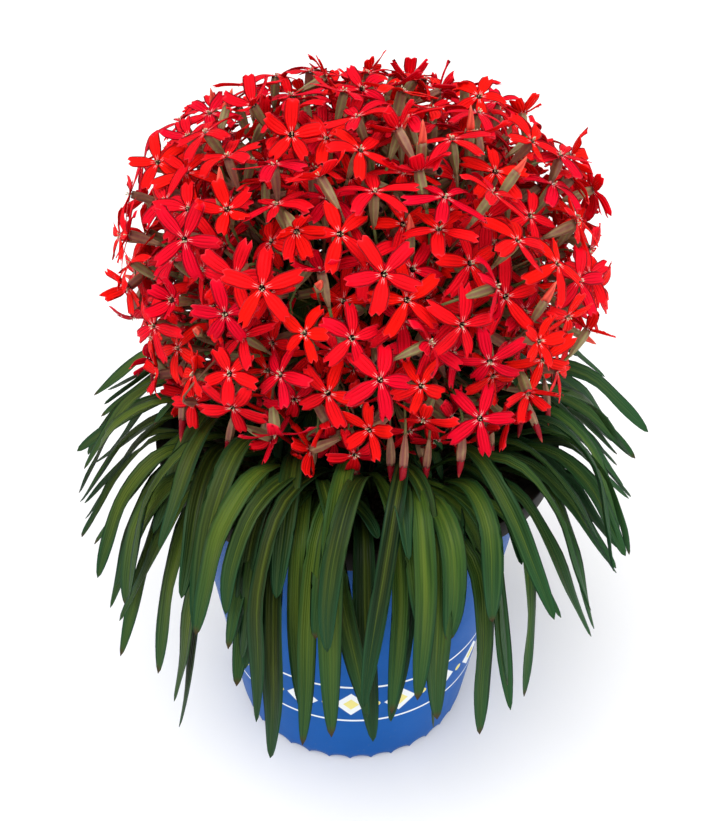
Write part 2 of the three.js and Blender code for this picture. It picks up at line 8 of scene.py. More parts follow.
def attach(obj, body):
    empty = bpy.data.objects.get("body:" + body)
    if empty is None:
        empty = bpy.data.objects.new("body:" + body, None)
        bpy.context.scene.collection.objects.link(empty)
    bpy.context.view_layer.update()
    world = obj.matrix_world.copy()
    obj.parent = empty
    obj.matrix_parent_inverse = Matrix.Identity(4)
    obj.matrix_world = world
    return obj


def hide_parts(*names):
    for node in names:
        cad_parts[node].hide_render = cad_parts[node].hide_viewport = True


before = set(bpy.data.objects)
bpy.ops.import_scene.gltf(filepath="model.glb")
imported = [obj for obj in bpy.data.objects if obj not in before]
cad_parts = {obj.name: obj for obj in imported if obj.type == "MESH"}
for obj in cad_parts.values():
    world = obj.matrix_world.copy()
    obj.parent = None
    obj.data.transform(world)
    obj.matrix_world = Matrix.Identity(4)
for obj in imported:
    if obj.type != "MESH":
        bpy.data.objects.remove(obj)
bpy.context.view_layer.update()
rng = np.random.default_rng(2417)
goldenAngle = math.pi * (3 - math.sqrt(5))
pieces = []
print("frame loaded:", len(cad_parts), "nodes")


# Small sums on whole arrays. Shapes are worked out in millimetres until a mesh is made.
def unit(v):
    return v / np.maximum(np.linalg.norm(v, axis=-1, keepdims=True), 1e-12)


def smooth(x):
    # a step from 0 to 1 with level ends
    x = np.clip(x, 0, 1)
    return x * x * (3 - 2 * x)


def either(shape):
    # random numbers to either side of nought
    return rng.uniform(-1, 1, shape)


def column(values):
    # one number for each piece, ready to be combined with [pieces, rows, ring]
    return np.asarray(values, float)[:, None, None]


def turns(count):
    # equal steps round a full turn
    return np.arange(count) * 2 * math.pi / count


def listed(found, *keys):
    # one array for each key, out of a list of dictionaries
    return (np.array([one[key] for one in found]) for key in keys)


def shares(rows):
    # each row's share of the length
    return np.linspace(0, 1, rows)[None, :, None]


def curve(t, start, pull, end):
    # from start to end at share t, pulled towards a point: a quadratic curve
    return (1 - t) ** 2 * start + 2 * t * (1 - t) * pull + t**2 * end


def aimed(first, second, turn):
    # the direction at a turn from the first towards the second
    return first * np.cos(turn) + second * np.sin(turn)


def squareTo(direction, hint):
    # two directions square to the first and to each other
    first = unit(np.cross(unit(direction + hint), direction))
    return first, np.cross(direction, first)


def wallFaces(rows, ring):
    # the points' numbers, row by row, and the quads between each row and the next
    at = np.arange(rows * ring).reshape(rows, ring)
    beside = np.roll(at, -1, axis=1)
    return at, beside, np.stack([at[:-1], beside[:-1], beside[1:], at[1:]], -1).reshape(-1, 4)


# One closed tube's faces: quads between its rows, and a strip of faces over each end.
# A ring has an even number of points and runs round the tube's own forward direction.
def tubePattern(rows, ring):
    sides = wallFaces(rows, ring)[2]
    i = np.arange(1, ring // 2 - 1)
    strip = np.stack([i, i + 1, ring - 1 - i, ring - i], -1)
    ends = np.array([[0, 1, ring - 1], [ring // 2 - 1, ring // 2, ring // 2 + 1]])
    top = (rows - 1) * ring
    quads = np.concatenate([sides, strip[:, ::-1], strip + top])
    triangles = np.concatenate([ends[:, ::-1], ends + top])
    return quads, triangles


# A mesh from sets of equal tubes. Each set has points [count, rows, ring, 3], what the
# material reads there ([..., 3]: share of the length, place across, a number of its own)
# and the material.
def makePiece(name, sets, replaced):
    points, places, quads, triangles, quadLook, triangleLook, looks = [], [], [], [], [], [], []
    start = 0
    for shape, place, look in sets:
        count, rows, ring = shape.shape[:3]
        if look not in looks:
            looks.append(look)
        order = looks.index(look)
        fours, threes = tubePattern(rows, ring)
        shift = start + np.arange(count)[:, None, None] * rows * ring
        quads.append((fours[None] + shift).reshape(-1, 4))
        triangles.append((threes[None] + shift).reshape(-1, 3))
        quadLook.append(np.full(len(quads[-1]), order))
        triangleLook.append(np.full(len(triangles[-1]), order))
        points.append(shape.reshape(-1, 3))
        places.append(np.broadcast_to(place, shape.shape).reshape(-1, 3))
        start += count * rows * ring
    points, places = np.concatenate(points) * 0.001, np.concatenate(places)
    quads, triangles = np.concatenate(quads), np.concatenate(triangles)
    corners = np.concatenate([quads.ravel(), triangles.ravel()])
    sizes = np.concatenate([np.full(len(quads), 4), np.full(len(triangles), 3)])
    mesh = bpy.data.meshes.new(name)
    mesh.vertices.add(len(points))
    mesh.vertices.foreach_set("co", points.astype(np.float32).ravel())
    mesh.loops.add(len(corners))
    mesh.loops.foreach_set("vertex_index", corners.astype(np.int32))
    mesh.polygons.add(len(sizes))
    mesh.polygons.foreach_set("loop_start", (np.cumsum(sizes) - sizes).astype(np.int32))
    mesh.polygons.foreach_set("material_index", np.concatenate(quadLook + triangleLook).astype(np.int32))
    mesh.polygons.foreach_set("use_smooth", np.ones(len(sizes), bool))
    mesh.attributes.new("place", "FLOAT_VECTOR", "POINT").data.foreach_set(
        "vector", places.astype(np.float32).ravel())
    for look in looks:
        mesh.materials.append(look)
    mesh.update(calc_edges=True)
    mesh.validate()
    settle(name, mesh, replaced)


def shown(name, data):
    thing = bpy.data.objects.new(name, data)
    bpy.context.scene.collection.objects.link(thing)
    return thing


def settle(name, mesh, replaced):
    piece = shown(name, mesh)
    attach(piece, "root")
    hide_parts(replaced)
    pieces.append(piece)


def placed(along, across, own, shape):
    # what the material reads, for every point of a shape
    return np.broadcast_to(np.stack(np.broadcast_arrays(along, across, own), -1), shape.shape)


def rings(paths, out, turn, first, second):
    # each row's middle plus its radius times the cosine and sine of the turn along two directions
    return (paths[:, :, None] + (out * np.cos(turn))[..., None] * first[:, :, None]
            + (out * np.sin(turn))[..., None] * second[:, :, None])


def bladeRing(columns):
    # places across a blade, over its top from 1 to -1 and back underneath, and which are underneath
    top = np.linspace(1, -1, columns)
    under = np.concatenate([np.zeros(columns), np.ones(columns - 2)])
    return np.concatenate([top, -top[1:-1]])[None, None, :], under[None, None, :]


# Round tubes along paths: rings square to the path's own direction
def tubes(paths, radii, ring, own):
    forward = unit(np.gradient(paths, axis=1))
    steep = np.abs(forward[:, :1, 2:]) > 0.8
    aim = np.where(steep, [[[1.0, 0.1, 0]]], [[[0.1, 0.2, 1.0]]])
    first = unit(np.cross(np.broadcast_to(aim, forward.shape), forward))
    second = np.cross(forward, first)
    turn = turns(ring)
    shape = rings(paths, np.broadcast_to(radii, paths.shape[:2])[..., None], turn, first, second)
    return shape, placed(shares(paths.shape[1]), np.cos(turn)[None, None], column(own), shape)


# Values between stations on a smooth curve through them (cubic Hermite pieces)
def throughStations(t, stations, values):
    gaps = np.diff(stations)
    slopes = np.diff(values, axis=1) / gaps[:, None]
    inner = ((slopes[:, :-1] * gaps[1:, None] + slopes[:, 1:] * gaps[:-1, None])
             / (gaps[:-1] + gaps[1:])[:, None])
    tangents = np.concatenate([slopes[:, :1], inner, slopes[:, -1:]], axis=1)
    k = np.clip(np.searchsorted(stations, t, side="right") - 1, 0, len(gaps) - 1)
    h = gaps[k][:, None]
    x = ((t - stations[k]) / gaps[k])[:, None]
    return ((2 * x**3 - 3 * x**2 + 1) * values[:, k] + (x**3 - 2 * x**2 + x) * h * tangents[:, k]
            + (3 * x**2 - 2 * x**3) * values[:, k + 1] + (x**3 - x**2) * h * tangents[:, k + 1])


# What the CAD nodes say about where each bloom, bud and leaf is
def nodeSolid(name):
    # a node's points in millimetres, equal ones made one, and which of them an edge joins
    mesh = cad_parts[name].data
    places = np.empty(len(mesh.vertices) * 3)
    mesh.vertices.foreach_get("co", places)
    corners = np.empty(len(mesh.loops), int)
    mesh.loops.foreach_get("vertex_index", corners)
    points, same = np.unique(np.round(places.reshape(-1, 3), 6), axis=0, return_inverse=True)
    triangles = same.ravel()[corners].reshape(-1, 3)
    joined = np.zeros((len(points), len(points)), bool)
    joined[triangles, np.roll(triangles, 1, axis=1)] = True
    return points * 1000, joined | joined.T


# The sizes that the nodes' blooms and buds have, and how nearly a point has to meet them
flowerPlan = {"calyxLength": 15.0, "centreRise": 0.5, "valleyOut": 2.4, "budWidest": 2.5,
              "budBehind": 3.0, "calyxFoot": 0.9, "footSlack": 0.06, "valleySlack": 0.1,
              "budSlack": 0.05, "leastHalf": 0.1, "pointedHalf": 3.5, "budAge": (0, 0.5)}


def stalkStart(points, joined, centre, normal):
    # the middle of the stem's face that the stalk was drawn from
    end = centre - flowerPlan["calyxLength"] * normal
    fromEnd = np.linalg.norm(points - end, axis=1)
    foot = np.abs(fromEnd - flowerPlan["calyxFoot"]) < flowerPlan["footSlack"]
    behind = (points - end) @ normal < flowerPlan["calyxLength"] * 0.5
    base = joined[foot].any(0) & ~foot & behind
    return points[base].mean(0)


def readFlowers(name):
    # A bloom's centre has 10, 15 or 20 neighbours, five of them in the valleys between the petals.
    # A bud's tip has three, which stand in an even triangle.
    points, joined = nodeSolid(name)
    apart = np.linalg.norm(points[:, None] - points[None], axis=2)
    valence = joined.sum(1)
    reach = math.hypot(flowerPlan["valleyOut"], flowerPlan["centreRise"])
    valley = joined & (np.abs(apart - reach) < flowerPlan["valleySlack"])
    blooms, buds = [], []
    for c in np.flatnonzero(np.isin(valence, (10, 15, 20)) & (valley.sum(1) == 5)):
        rim, low = np.flatnonzero(joined[c]), np.flatnonzero(valley[c])
        normal = np.linalg.svd(points[low] - points[low].mean(0))[2][2]
        normal = normal * np.sign((points[c] - points[low[0]]) @ normal)
        centre = points[c] - flowerPlan["centreRise"] * normal
        side = unit(points[low[0]] - centre)
        over = np.cross(normal, side)
        flat = points[rim] - centre
        turn = (np.arctan2(flat @ over, flat @ side) + 1e-3) % (2 * math.pi)  # from the first valley
        order = np.argsort(turn)
        rim, flat, turn = rim[order], flat[order], turn[order]
        group = np.cumsum(np.isin(rim, low)) - 1
        petals = []
        for k in range(5):
            mine = (group == k) & ~np.isin(rim, low)
            lobes = np.flatnonzero(mine)[[0, -1]]
            out = np.hypot(flat[lobes] @ side, flat[lobes] @ over).mean()
            spread = (turn[lobes[1]] - turn[lobes[0]]) / 2 * out
            half = spread if spread > flowerPlan["leastHalf"] else flowerPlan["pointedHalf"]
            petals.append([turn[lobes].mean(), out, (flat[lobes] @ normal).mean(), half])
        blooms.append({"centre": centre, "normal": normal, "side": side, "petals": np.array(petals),
                       "start": stalkStart(points, joined, centre, normal)})
    for c in np.flatnonzero(valence == 3):
        ring = np.flatnonzero(joined[c])
        sides = apart[np.ix_(ring, ring)][np.triu_indices(3, 1)]
        if np.abs(sides - math.sqrt(3) * flowerPlan["budWidest"]).max() > flowerPlan["budSlack"]:
            continue
        middle = points[ring].mean(0)
        normal = unit(points[c] - middle)
        centre = middle + flowerPlan["budBehind"] * normal
        buds.append({"centre": centre, "normal": normal, "tip": (points[c] - centre) @ normal,
                     "start": stalkStart(points, joined, centre, normal),
                     "age": rng.uniform(*flowerPlan["budAge"])})
    return blooms, buds


leafPlan = {"stations": np.array([0, 0.2, 0.42, 0.64, 0.84, 1]), "stalkShare": 0.34, "broadest": 0.68,
            "tipPower": 0.5, "tipHalf": 0.12, "keel": 1.3, "crowding": 1.35, "grooveCurve": 1.3,
            "swayTurns": 0.75, "wavePhase": 1.3, "keelLeast": 0.35}


def readLeaves(name):
    # from each leaf's tip, ring after ring of three points to its root in the crown
    points, joined = nodeSolid(name)
    leaves = []
    for tip in np.flatnonzero(joined.sum(1) == 3):
        levels = [np.array([tip]), np.flatnonzero(joined[tip])]
        seen = np.isin(np.arange(len(points)), np.concatenate(levels))
        while len(levels) < 6:
            beyond = np.flatnonzero(joined[levels[-1]].any(0) & ~seen)
            if len(beyond) != 3:
                break
            seen[beyond] = True
            levels.append(beyond)
        if len(levels) < 6:
            continue
        mids, downs, halves = [], [], []
        for ring in levels[1:5]:
            trio = points[ring]
            middle = np.array([(trio[(i + 1) % 3] + trio[(i + 2) % 3]) / 2 for i in range(3)])
            keel = np.argmin(np.abs(np.linalg.norm(trio - middle, axis=1) - leafPlan["keel"]))
            mids.append(middle[keel])
            downs.append(unit(trio[keel] - middle[keel]))
            halves.append(np.linalg.norm(trio[(keel + 1) % 3] - trio[(keel + 2) % 3]) / 2)
        root = points[levels[5]].mean(0)
        leaves.append({"line": np.array([root, *mids[::-1], points[tip]]),
                       "down": np.array([downs[3], *downs[::-1], downs[0]]), "half": halves[1]})
    return leaves


sprayNames = sorted(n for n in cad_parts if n.startswith("flower_spray"))
tuftNames = sorted(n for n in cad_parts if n.startswith("leaf_tuft"))
flowers = {name: readFlowers(name) for name in sprayNames}
leaves = {name: readLeaves(name) for name in tuftNames}
print("read:", sum(len(b) for b, _ in flowers.values()), "blooms,",
      sum(len(b) for _, b in flowers.values()), "buds,",
      sum(len(v) for v in leaves.values()), "leaves")


def sign(operation, swapped=False):
    # what a sign between two values makes: one Math node, with its sides swapped if asked
    return lambda self, other: self.maths(operation, *((other, self) if swapped else (self, other)))


class Wire:
    # one output of a node, with sums written as on numbers
    def __init__(self, look, socket):
        self.look, self.socket = look, socket

    def maths(self, operation, a, b=None, clamped=False):
        values = {0: a} if b is None else {0: a, 1: b}
        return self.look.node("ShaderNodeMath", {"operation": operation, "use_clamp": clamped}, values)

    __add__, __radd__ = sign("ADD"), sign("ADD", True)
    __sub__, __rsub__ = sign("SUBTRACT"), sign("SUBTRACT", True)
    __mul__, __rmul__ = sign("MULTIPLY"), sign("MULTIPLY", True)
    __truediv__, __rtruediv__ = sign("DIVIDE"), sign("DIVIDE", True)
    __pow__, __rpow__ = sign("POWER"), sign("POWER", True)

    def __abs__(self):
        return self.maths("ABSOLUTE", self)

    def held(self):
        # kept between 0 and 1
        return self.maths("MULTIPLY", self, 1.0, clamped=True)

    def ramp(self, low, high):
        # 0 below low, 1 above high, smooth between
        return self.look.node("ShaderNodeMapRange", {"interpolation_type": "SMOOTHSTEP"},
                              {0: self, 1: low, 2: high})


class Look:
    # a material, its shader, what is painted on it so far and the one way that its nodes are made
    def __init__(self, name, settings):
        self.material = bpy.data.materials.new(name)
        self.material.use_nodes = True
        self.tree = self.material.node_tree
        self.shader = self.tree.nodes["Principled BSDF"]
        self.shader.inputs["Roughness"].default_value = settings["roughness"]
        self.shader.inputs["Specular IOR Level"].default_value = settings["specular"]
        self.settings, self.colour = settings, settings["base"]

    def node(self, kind, settings=None, values=None, output=0):
        made = self.tree.nodes.new(kind)
        for key, value in (settings or {}).items():
            setattr(made, key, value)
        for key, value in (values or {}).items():
            if isinstance(value, Wire):
                self.tree.links.new(value.socket, made.inputs[key])
            elif isinstance(value, tuple) and len(value) == 3:
                made.inputs[key].default_value = (*value, 1)
            else:
                made.inputs[key].default_value = value
        return Wire(self, made.outputs[output])

    def place(self):
        # share of the length, place across and the piece's own number
        return self.partsOf(self.node("ShaderNodeAttribute", {"attribute_name": "place"}, output=1))

    def position(self):
        # in metres, with the pot's axis at the origin
        return self.node("ShaderNodeTexCoord", output=3)

    def partsOf(self, vector):
        parts = self.node("ShaderNodeSeparateXYZ", None, {0: vector})
        return [Wire(self, parts.socket.node.outputs[i]) for i in range(3)]

    def noise(self, scale, detail=3.0, vector=None):
        return self.node("ShaderNodeTexNoise", None,
                         {"Vector": vector or self.position(), "Scale": scale, "Detail": detail})

    def give(self, name, wire):
        self.tree.links.new(wire.socket, self.shader.inputs[name])

    def paint(self, share, name):
        # one of the settings' colours is laid over what is painted, by a share from 0 to 1
        self.colour = self.node("ShaderNodeMix", {"data_type": "RGBA"},
                                {0: share, 6: self.colour, 7: self.settings[name]}, output=2)

    def roughen(self, pattern, share):
        self.give("Roughness", self.settings["roughness"] + pattern * share)

    def bump(self, height, strength, distance):
        self.give("Normal", self.node("ShaderNodeBump", None,
                                      {"Height": height, "Strength": strength, "Distance": distance}))

    def finished(self):
        self.give("Base Color", self.colour)
        return self.material


def petalLook():
    look = Look("petalRed", {
        "roughness": 0.6, "specular": 0.06, "base": (1.0, 0.006, 0.002), "crimson": (0.76, 0.0, 0.02),
        "pink": (0.95, 0.1, 0.14), "deep": (0.26, 0.0, 0.001), "pale": (0.95, 0.45, 0.45)})
    s, u, own = look.place()
    z = look.partsOf(look.position())[2]
    look.paint(own.ramp(0.1, 0.9), "crimson")
    look.paint(look.noise(75.0, 2.0).ramp(0.42, 0.8) * 0.3, "deep")
    # petals low on the dome are painted darker: painted shade under the dome
    look.paint((1.0 - z.ramp(0.22, 0.31)) * 0.3, "deep")
    # three darker folds run lengthwise, painted as shade in their creases, fading before the tip, with
    # pale lines between at the claw
    folds = u.maths("COSINE", u * (4 * math.pi))
    dark = folds.ramp(0.45, 1.0) * (1.0 - s.ramp(0.4, 0.95)) * (1.0 - abs(u).ramp(0.7, 0.9))
    # painted shade along the fold creases
    look.paint(dark * (0.35 + own * 0.4), "deep")
    pale = (1.0 - folds.ramp(-1.0, -0.6)) * (1.0 - s.ramp(0.09, 0.2)) * (1.0 - abs(u).ramp(0.4, 0.55))
    look.paint(pale * 0.9, "pale")
    # pink along the edges and at the tip: a painted highlight
    edge = abs(u).ramp(0.84, 1.0) * s.ramp(0.2, 0.5) + s.ramp(0.93, 1.0) * 0.5
    look.paint(edge.held() * 0.45, "pink")
    look.bump(folds * -1.0 * (1.0 - s.ramp(0.6, 1.0)), 0.5, 0.0004)
    return look.finished()


def calyxLook():
    look = Look("calyxGreen", {
        "roughness": 0.6, "specular": 0.3, "base": (0.23, 0.22, 0.07), "brown": (0.3, 0.13, 0.07),
        "plum": (0.2, 0.04, 0.055), "light": (0.46, 0.42, 0.2), "throat": (0.02, 0.002, 0.003)})
    s, rib, own = look.place()
    look.paint(own.ramp(0.3, 0.8), "brown")
    look.paint((1.0 - rib.ramp(-0.6, 0.8)) * 0.6, "plum")
    look.paint(s.ramp(0.5, 0.7) * 0.4, "plum")
    look.paint(look.noise(160.0).ramp(0.4, 0.7) * 0.3, "light")
    # the turned-in lip is painted near black: painted shade inside the throat
    look.paint(s.ramp(0.73, 0.84), "throat")
    look.bump(rib, 0.4, 0.0006)
    return look.finished()


def stalkLook():
    look = Look("stalkGreen", {
        "roughness": 0.55, "specular": 0.3, "base": (0.12, 0.15, 0.035), "brown": (0.19, 0.075, 0.04),
        "dark": (0.07, 0.08, 0.025)})
    look.paint(look.place()[2].ramp(0.3, 0.7), "brown")
    look.paint(look.noise(70.0).ramp(0.4, 0.7) * 0.5, "dark")
    return look.finished()


def budLook():
    # coral when young, dark crimson when spent
    look = Look("budCoral", {
        "roughness": 0.55, "specular": 0.2, "base": (0.85, 0.1, 0.06), "spent": (0.26, 0.002, 0.012),
        "furrow": (0.35, 0.0, 0.006), "tip": (0.95, 0.25, 0.15)})
    s, rib, own = look.place()
    look.paint(own.ramp(0.45, 0.8), "spent")
    # darker red in the furrows between the ridges: painted shade
    look.paint((1.0 - rib.ramp(-0.8, 0.4)) * 0.5, "furrow")
    look.paint(s.ramp(0.7, 1.0) * 0.35, "tip")
    look.bump(rib, 0.3, 0.0004)
    return look.finished()


def plainLook(name, first, second, roughness, scale=120.0):
    # one colour with soft blotches of another
    look = Look(name, {"roughness": roughness, "specular": 0.5, "base": first, "second": second})
    look.paint(look.noise(scale).ramp(0.35, 0.7), "second")
    return look.finished()


def leafLook():
    look = Look("leafGreen", {
        "roughness": 0.36, "specular": 0.1, "base": (0.003, 0.012, 0.003), "mid": (0.036, 0.08, 0.009),
        "olive": (0.1, 0.125, 0.014), "blue": (0.014, 0.062, 0.024), "rightSideLight": (0.03, 0.12, 0.034),
        "streak": (0.115, 0.165, 0.02), "brown": (0.06, 0.035, 0.014)})
    s, u, own = look.place()
    x = look.partsOf(look.position())[0]
    # long streaks: noise stretched along the leaf, another pattern on each
    stretched = look.node("ShaderNodeCombineXYZ", None, {0: u * 2.6, 1: s * 2.2, 2: own * 40.0})
    streaks = look.noise(1.0, 3.0, stretched)
    look.paint(own.ramp(0.0, 1.0), "mid")
    # olive on the leaves at the left of the pot: painted light on that side
    look.paint((1.0 - x.ramp(-0.16, 0.04)) * 0.4, "olive")
    look.paint(streaks.ramp(0.46, 0.7) * 0.35, "olive")
    look.paint((1.0 - streaks.ramp(0.32, 0.5)) * 0.55, "base")
    # yellower near the middle of the blade, bluer towards the edges and the tip, and painted light on the
    # right side
    middle = (1.0 - abs(u).ramp(0.05, 0.6)) * (1.0 - s.ramp(0.55, 0.95)) * streaks.ramp(0.34, 0.6)
    look.paint(middle * own.ramp(0.0, 1.0) * 0.45, "streak")
    look.paint((abs(u).ramp(0.45, 1.0) * 0.5 + s.ramp(0.6, 1.0) * 0.6).held(), "blue")
    # lighter green on the leaves at the right of the pot: painted light on that side
    look.paint(x.ramp(0.02, 0.14) * 0.35, "rightSideLight")
    look.paint((1.0 - abs(u).ramp(0.02, 0.09)) * 0.4 * (1.0 - s.ramp(0.7, 1.0)), "streak")
    fine = u.maths("SINE", u * 26.0 + own * 9.0)
    look.paint(fine.ramp(0.2, 1.0) * 0.25, "base")
    # brown at the tips of some leaves and in spots along the edges
    blotch = look.noise(60.0, 4.0)
    spots = abs(u).ramp(0.9, 1.0) * blotch.ramp(0.54, 0.66) * 0.5
    look.paint((s.ramp(0.965, 1.0) * own.ramp(0.5, 0.65) + spots).held(), "brown")
    look.roughen(blotch, 0.2)
    look.bump(fine * 0.25 + streaks - (1.0 - abs(u).ramp(0.0, 0.12)) * 0.8, 0.4, 0.0008)
    return look.finished()


def potLook():
    # white diamonds with yellow hearts and yellow dots between two fine white lines, on blue
    look = Look("potBlue", {
        "roughness": 0.34, "specular": 0.07, "base": (0.002, 0.09, 0.365),
        "deep": (0.001, 0.062, 0.26), "white": (0.8, 0.84, 0.86), "yellow": (0.8, 0.72, 0.24),
        "dust": (0.15, 0.16, 0.18)})
    band = {"around": 18, "middle": 0.062, "half": 0.011, "lineOff": 0.017, "lineHalf": 0.0008}
    x, y, z = look.partsOf(look.position())
    step = y.maths("ARCTAN2", y, x) * (band["around"] / (2 * math.pi)) + band["around"]
    inCell = abs(step.maths("FRACT", step) - 0.5) * 2.0
    up = abs(z - band["middle"]) / band["half"]
    diamond = 1.0 - (inCell * 1.5 + up).ramp(0.96, 1.04)
    heart = 1.0 - (inCell * 1.5 + up).ramp(0.44, 0.52)
    dot = 1.0 - (((1.0 - inCell) * 2.2) ** 2.0 + (up * 1.7) ** 2.0).ramp(0.12, 0.16)
    fromLine = abs(abs(z - band["middle"]) - band["lineOff"]) / band["lineHalf"]
    worn = look.noise(38.0, 4.0)
    look.paint(worn.ramp(0.3, 0.8) * 0.4, "deep")
    look.paint((diamond + (1.0 - fromLine.ramp(0.8, 1.2))).held(), "white")
    look.paint((heart + dot).held(), "yellow")
    look.paint(look.noise(420.0, 2.0).ramp(0.62, 0.8) * (1.0 - z.ramp(0.0, 0.06)) * 0.25, "dust")
    look.roughen(worn, 0.16)
    look.bump(look.noise(700.0, 2.0), 0.05, 0.0002)
    return look.finished()


def rimLook():
    look = Look("rimDark", {
        "roughness": 0.4, "specular": 0.06, "base": (0.004, 0.003, 0.002),
        "light": (0.024, 0.017, 0.01)})
    worn = look.noise(60.0, 5.0)
    look.paint(worn.ramp(0.4, 0.8), "light")
    look.roughen(worn, 0.25)
    return look.finished()


def soilLook():
    look = Look("pottingSoil", {
        "roughness": 0.95, "specular": 0.15, "base": (0.01, 0.007, 0.004),
        "light": (0.07, 0.045, 0.028)})
    fine = look.noise(420.0, 5.0)
    look.paint(fine.ramp(0.35, 0.7), "light")
    look.bump(fine, 0.8, 0.0015)
    return look.finished()


petalRed, calyxGreen, stalkGreen = petalLook(), calyxLook(), stalkLook()
leafGreen, budCoral = leafLook(), budLook()
stamenCream = plainLook("stamenCream", (0.72, 0.64, 0.42), (0.35, 0.3, 0.14), 0.6, 900.0)
scalePink = plainLook("scalePink", (0.85, 0.25, 0.26), (0.85, 0.5, 0.48), 0.5)
potBlue, rimDark, pottingSoil = potLook(), rimLook(), soilLook()
print("materials made")


# The dome that the blooms lie on, and the stems that carry them
dome = {"middle": 300, "radius": 121, "rise": 94, "drop": 80, "roundness": 2.4, "lowest": 118,
        "knotDepth": 0.56, "knotDrop": 6, "stemFoot": 180, "footOut": 0.5, "bowOut": 0.66,
        "bowFoot": 0.45, "bowKnot": 0.55, "stalksFrom": 0.72, "stalkSteps": 8}
lowestRise = math.cos(math.radians(dome["lowest"]))


def domePoints(turn, rise, share):
    # a share of the way out from the middle to where (reach/radius)^n + (rise/height)^n is 1,
    # and the direction square to the dome there
    reach = np.sqrt(1 - rise**2)
    height = np.where(rise > 0, dome["rise"], dome["drop"])
    n = dome["roundness"]
    k = ((reach / dome["radius"]) ** n + (np.abs(rise) / height) ** n) ** (-1 / n)
    around = np.stack([np.cos(turn), np.sin(turn)], -1)
    point = np.concatenate([around * (share * k * reach)[:, None],
                            (dome["middle"] + share * k * rise)[:, None]], 1)
    outSlope = (k * reach / dome["radius"]) ** (n - 1) / dome["radius"]
    upSlope = np.sign(rise) * (k * np.abs(rise) / height) ** (n - 1) / height
    return point, unit(np.concatenate([around * outSlope[:, None], upSlope[:, None]], 1))


def stemCurves(t):
    # each stem is a quadratic curve from its foot, past its bow, to its knot inside the dome
    k = np.arange(len(sprayNames))
    rise = 1 - (k + 0.5) / len(sprayNames) * (1 - lowestRise)
    turn = k * goldenAngle
    out = dome["knotDepth"] * dome["radius"] * np.sqrt(1 - rise**2)
    up = dome["knotDepth"] * np.where(rise > 0, dome["rise"], dome["drop"]) * rise
    knot = np.stack([out * np.cos(turn), out * np.sin(turn),
                     dome["middle"] - dome["knotDrop"] + up], 1)[:, None]
    foot = np.concatenate([dome["footOut"] * knot[..., :2], np.full((len(k), 1, 1), dome["stemFoot"])], 2)
    bow = np.concatenate([dome["bowOut"] * knot[..., :2],
                          dome["bowFoot"] * foot[..., 2:] + dome["bowKnot"] * knot[..., 2:]], 2)
    return curve(t[None, :, None], foot, bow, knot)


# Further blooms and spent calyces fill the widest gaps that the nodes' own leave in the dome,
# which dips a little lower at the front
extraPlan = {"candidates": 5200, "frontTurn": math.radians(282), "frontDip": 0.2, "fromLeaves": 11,
             "blooms": {"count": 300, "shares": (0.64, 1.0), "apart": 7.5, "stray": 0.9},
             "spent": {"count": 140, "shares": (0.5, 0.86), "apart": 6, "stray": 1.3},
             "faded": {"count": 30, "shares": (0.94, 1.07), "apart": 5, "stray": 0.5},
             "topTilt": 1.1, "upward": 0.15, "funnels": 0.34, "openLift": (-3.5, 2.0),
             "funnelLift": (3.5, 9.5), "reach": (12.6, 15.4), "half": (3.1, 3.8),
             "turnStray": (-9, 9), "reachStray": (0.92, 1.05), "liftStray": (-1.8, 1.8),
             "fadedHighest": -0.42, "fadedOut": 0.6, "fadedDown": 0.7, "fadedTip": (8, 13),
             "fadedAge": (0.75, 1)}
leafPoints = np.concatenate([f["line"] for found in leaves.values() for f in found])


def fillGaps(plan, taken, highest=0.995):
    # the candidate furthest from all that is placed comes next, until the gaps are small or
    # there are enough
    n = extraPlan["candidates"]
    i = np.arange(n)
    turn = i * goldenAngle
    front = np.maximum(0, np.cos(turn - extraPlan["frontTurn"])) ** 4
    lowest = lowestRise - extraPlan["frontDip"] * front
    rise = highest + (lowest - highest) * (i + 0.5) / n
    points, normals = domePoints(turn, rise, rng.uniform(*plan["shares"], n))
    gap = np.linalg.norm(points[:, None] - taken[None], axis=2).min(1)
    fromLeaves = np.linalg.norm(points[:, None] - leafPoints[None], axis=2).min(1)
    gap = np.where(fromLeaves < extraPlan["fromLeaves"], 0, gap)
    chosen = []
    while len(chosen) < plan["count"] and gap.max() > plan["apart"]:
        chosen.append(int(np.argmax(gap)))
        gap = np.minimum(gap, np.linalg.norm(points - points[chosen[-1]], axis=1))
    normals = normals[chosen] + plan["stray"] * either((len(chosen), 3))
    return points[chosen], normals


stemSteps = stemCurves(np.linspace(dome["stalksFrom"], 1, dome["stalkSteps"]))


def carrier(centre, normal):
    # the nearest stem, and the step of it that the stalk leaves most nearly in line
    spray = int(np.argmin(np.linalg.norm(stemSteps[:, -1] - centre, axis=1)))
    towards = unit(centre - flowerPlan["calyxLength"] * normal - stemSteps[spray])
    return sprayNames[spray], stemSteps[spray][int(np.argmax(towards @ normal))]


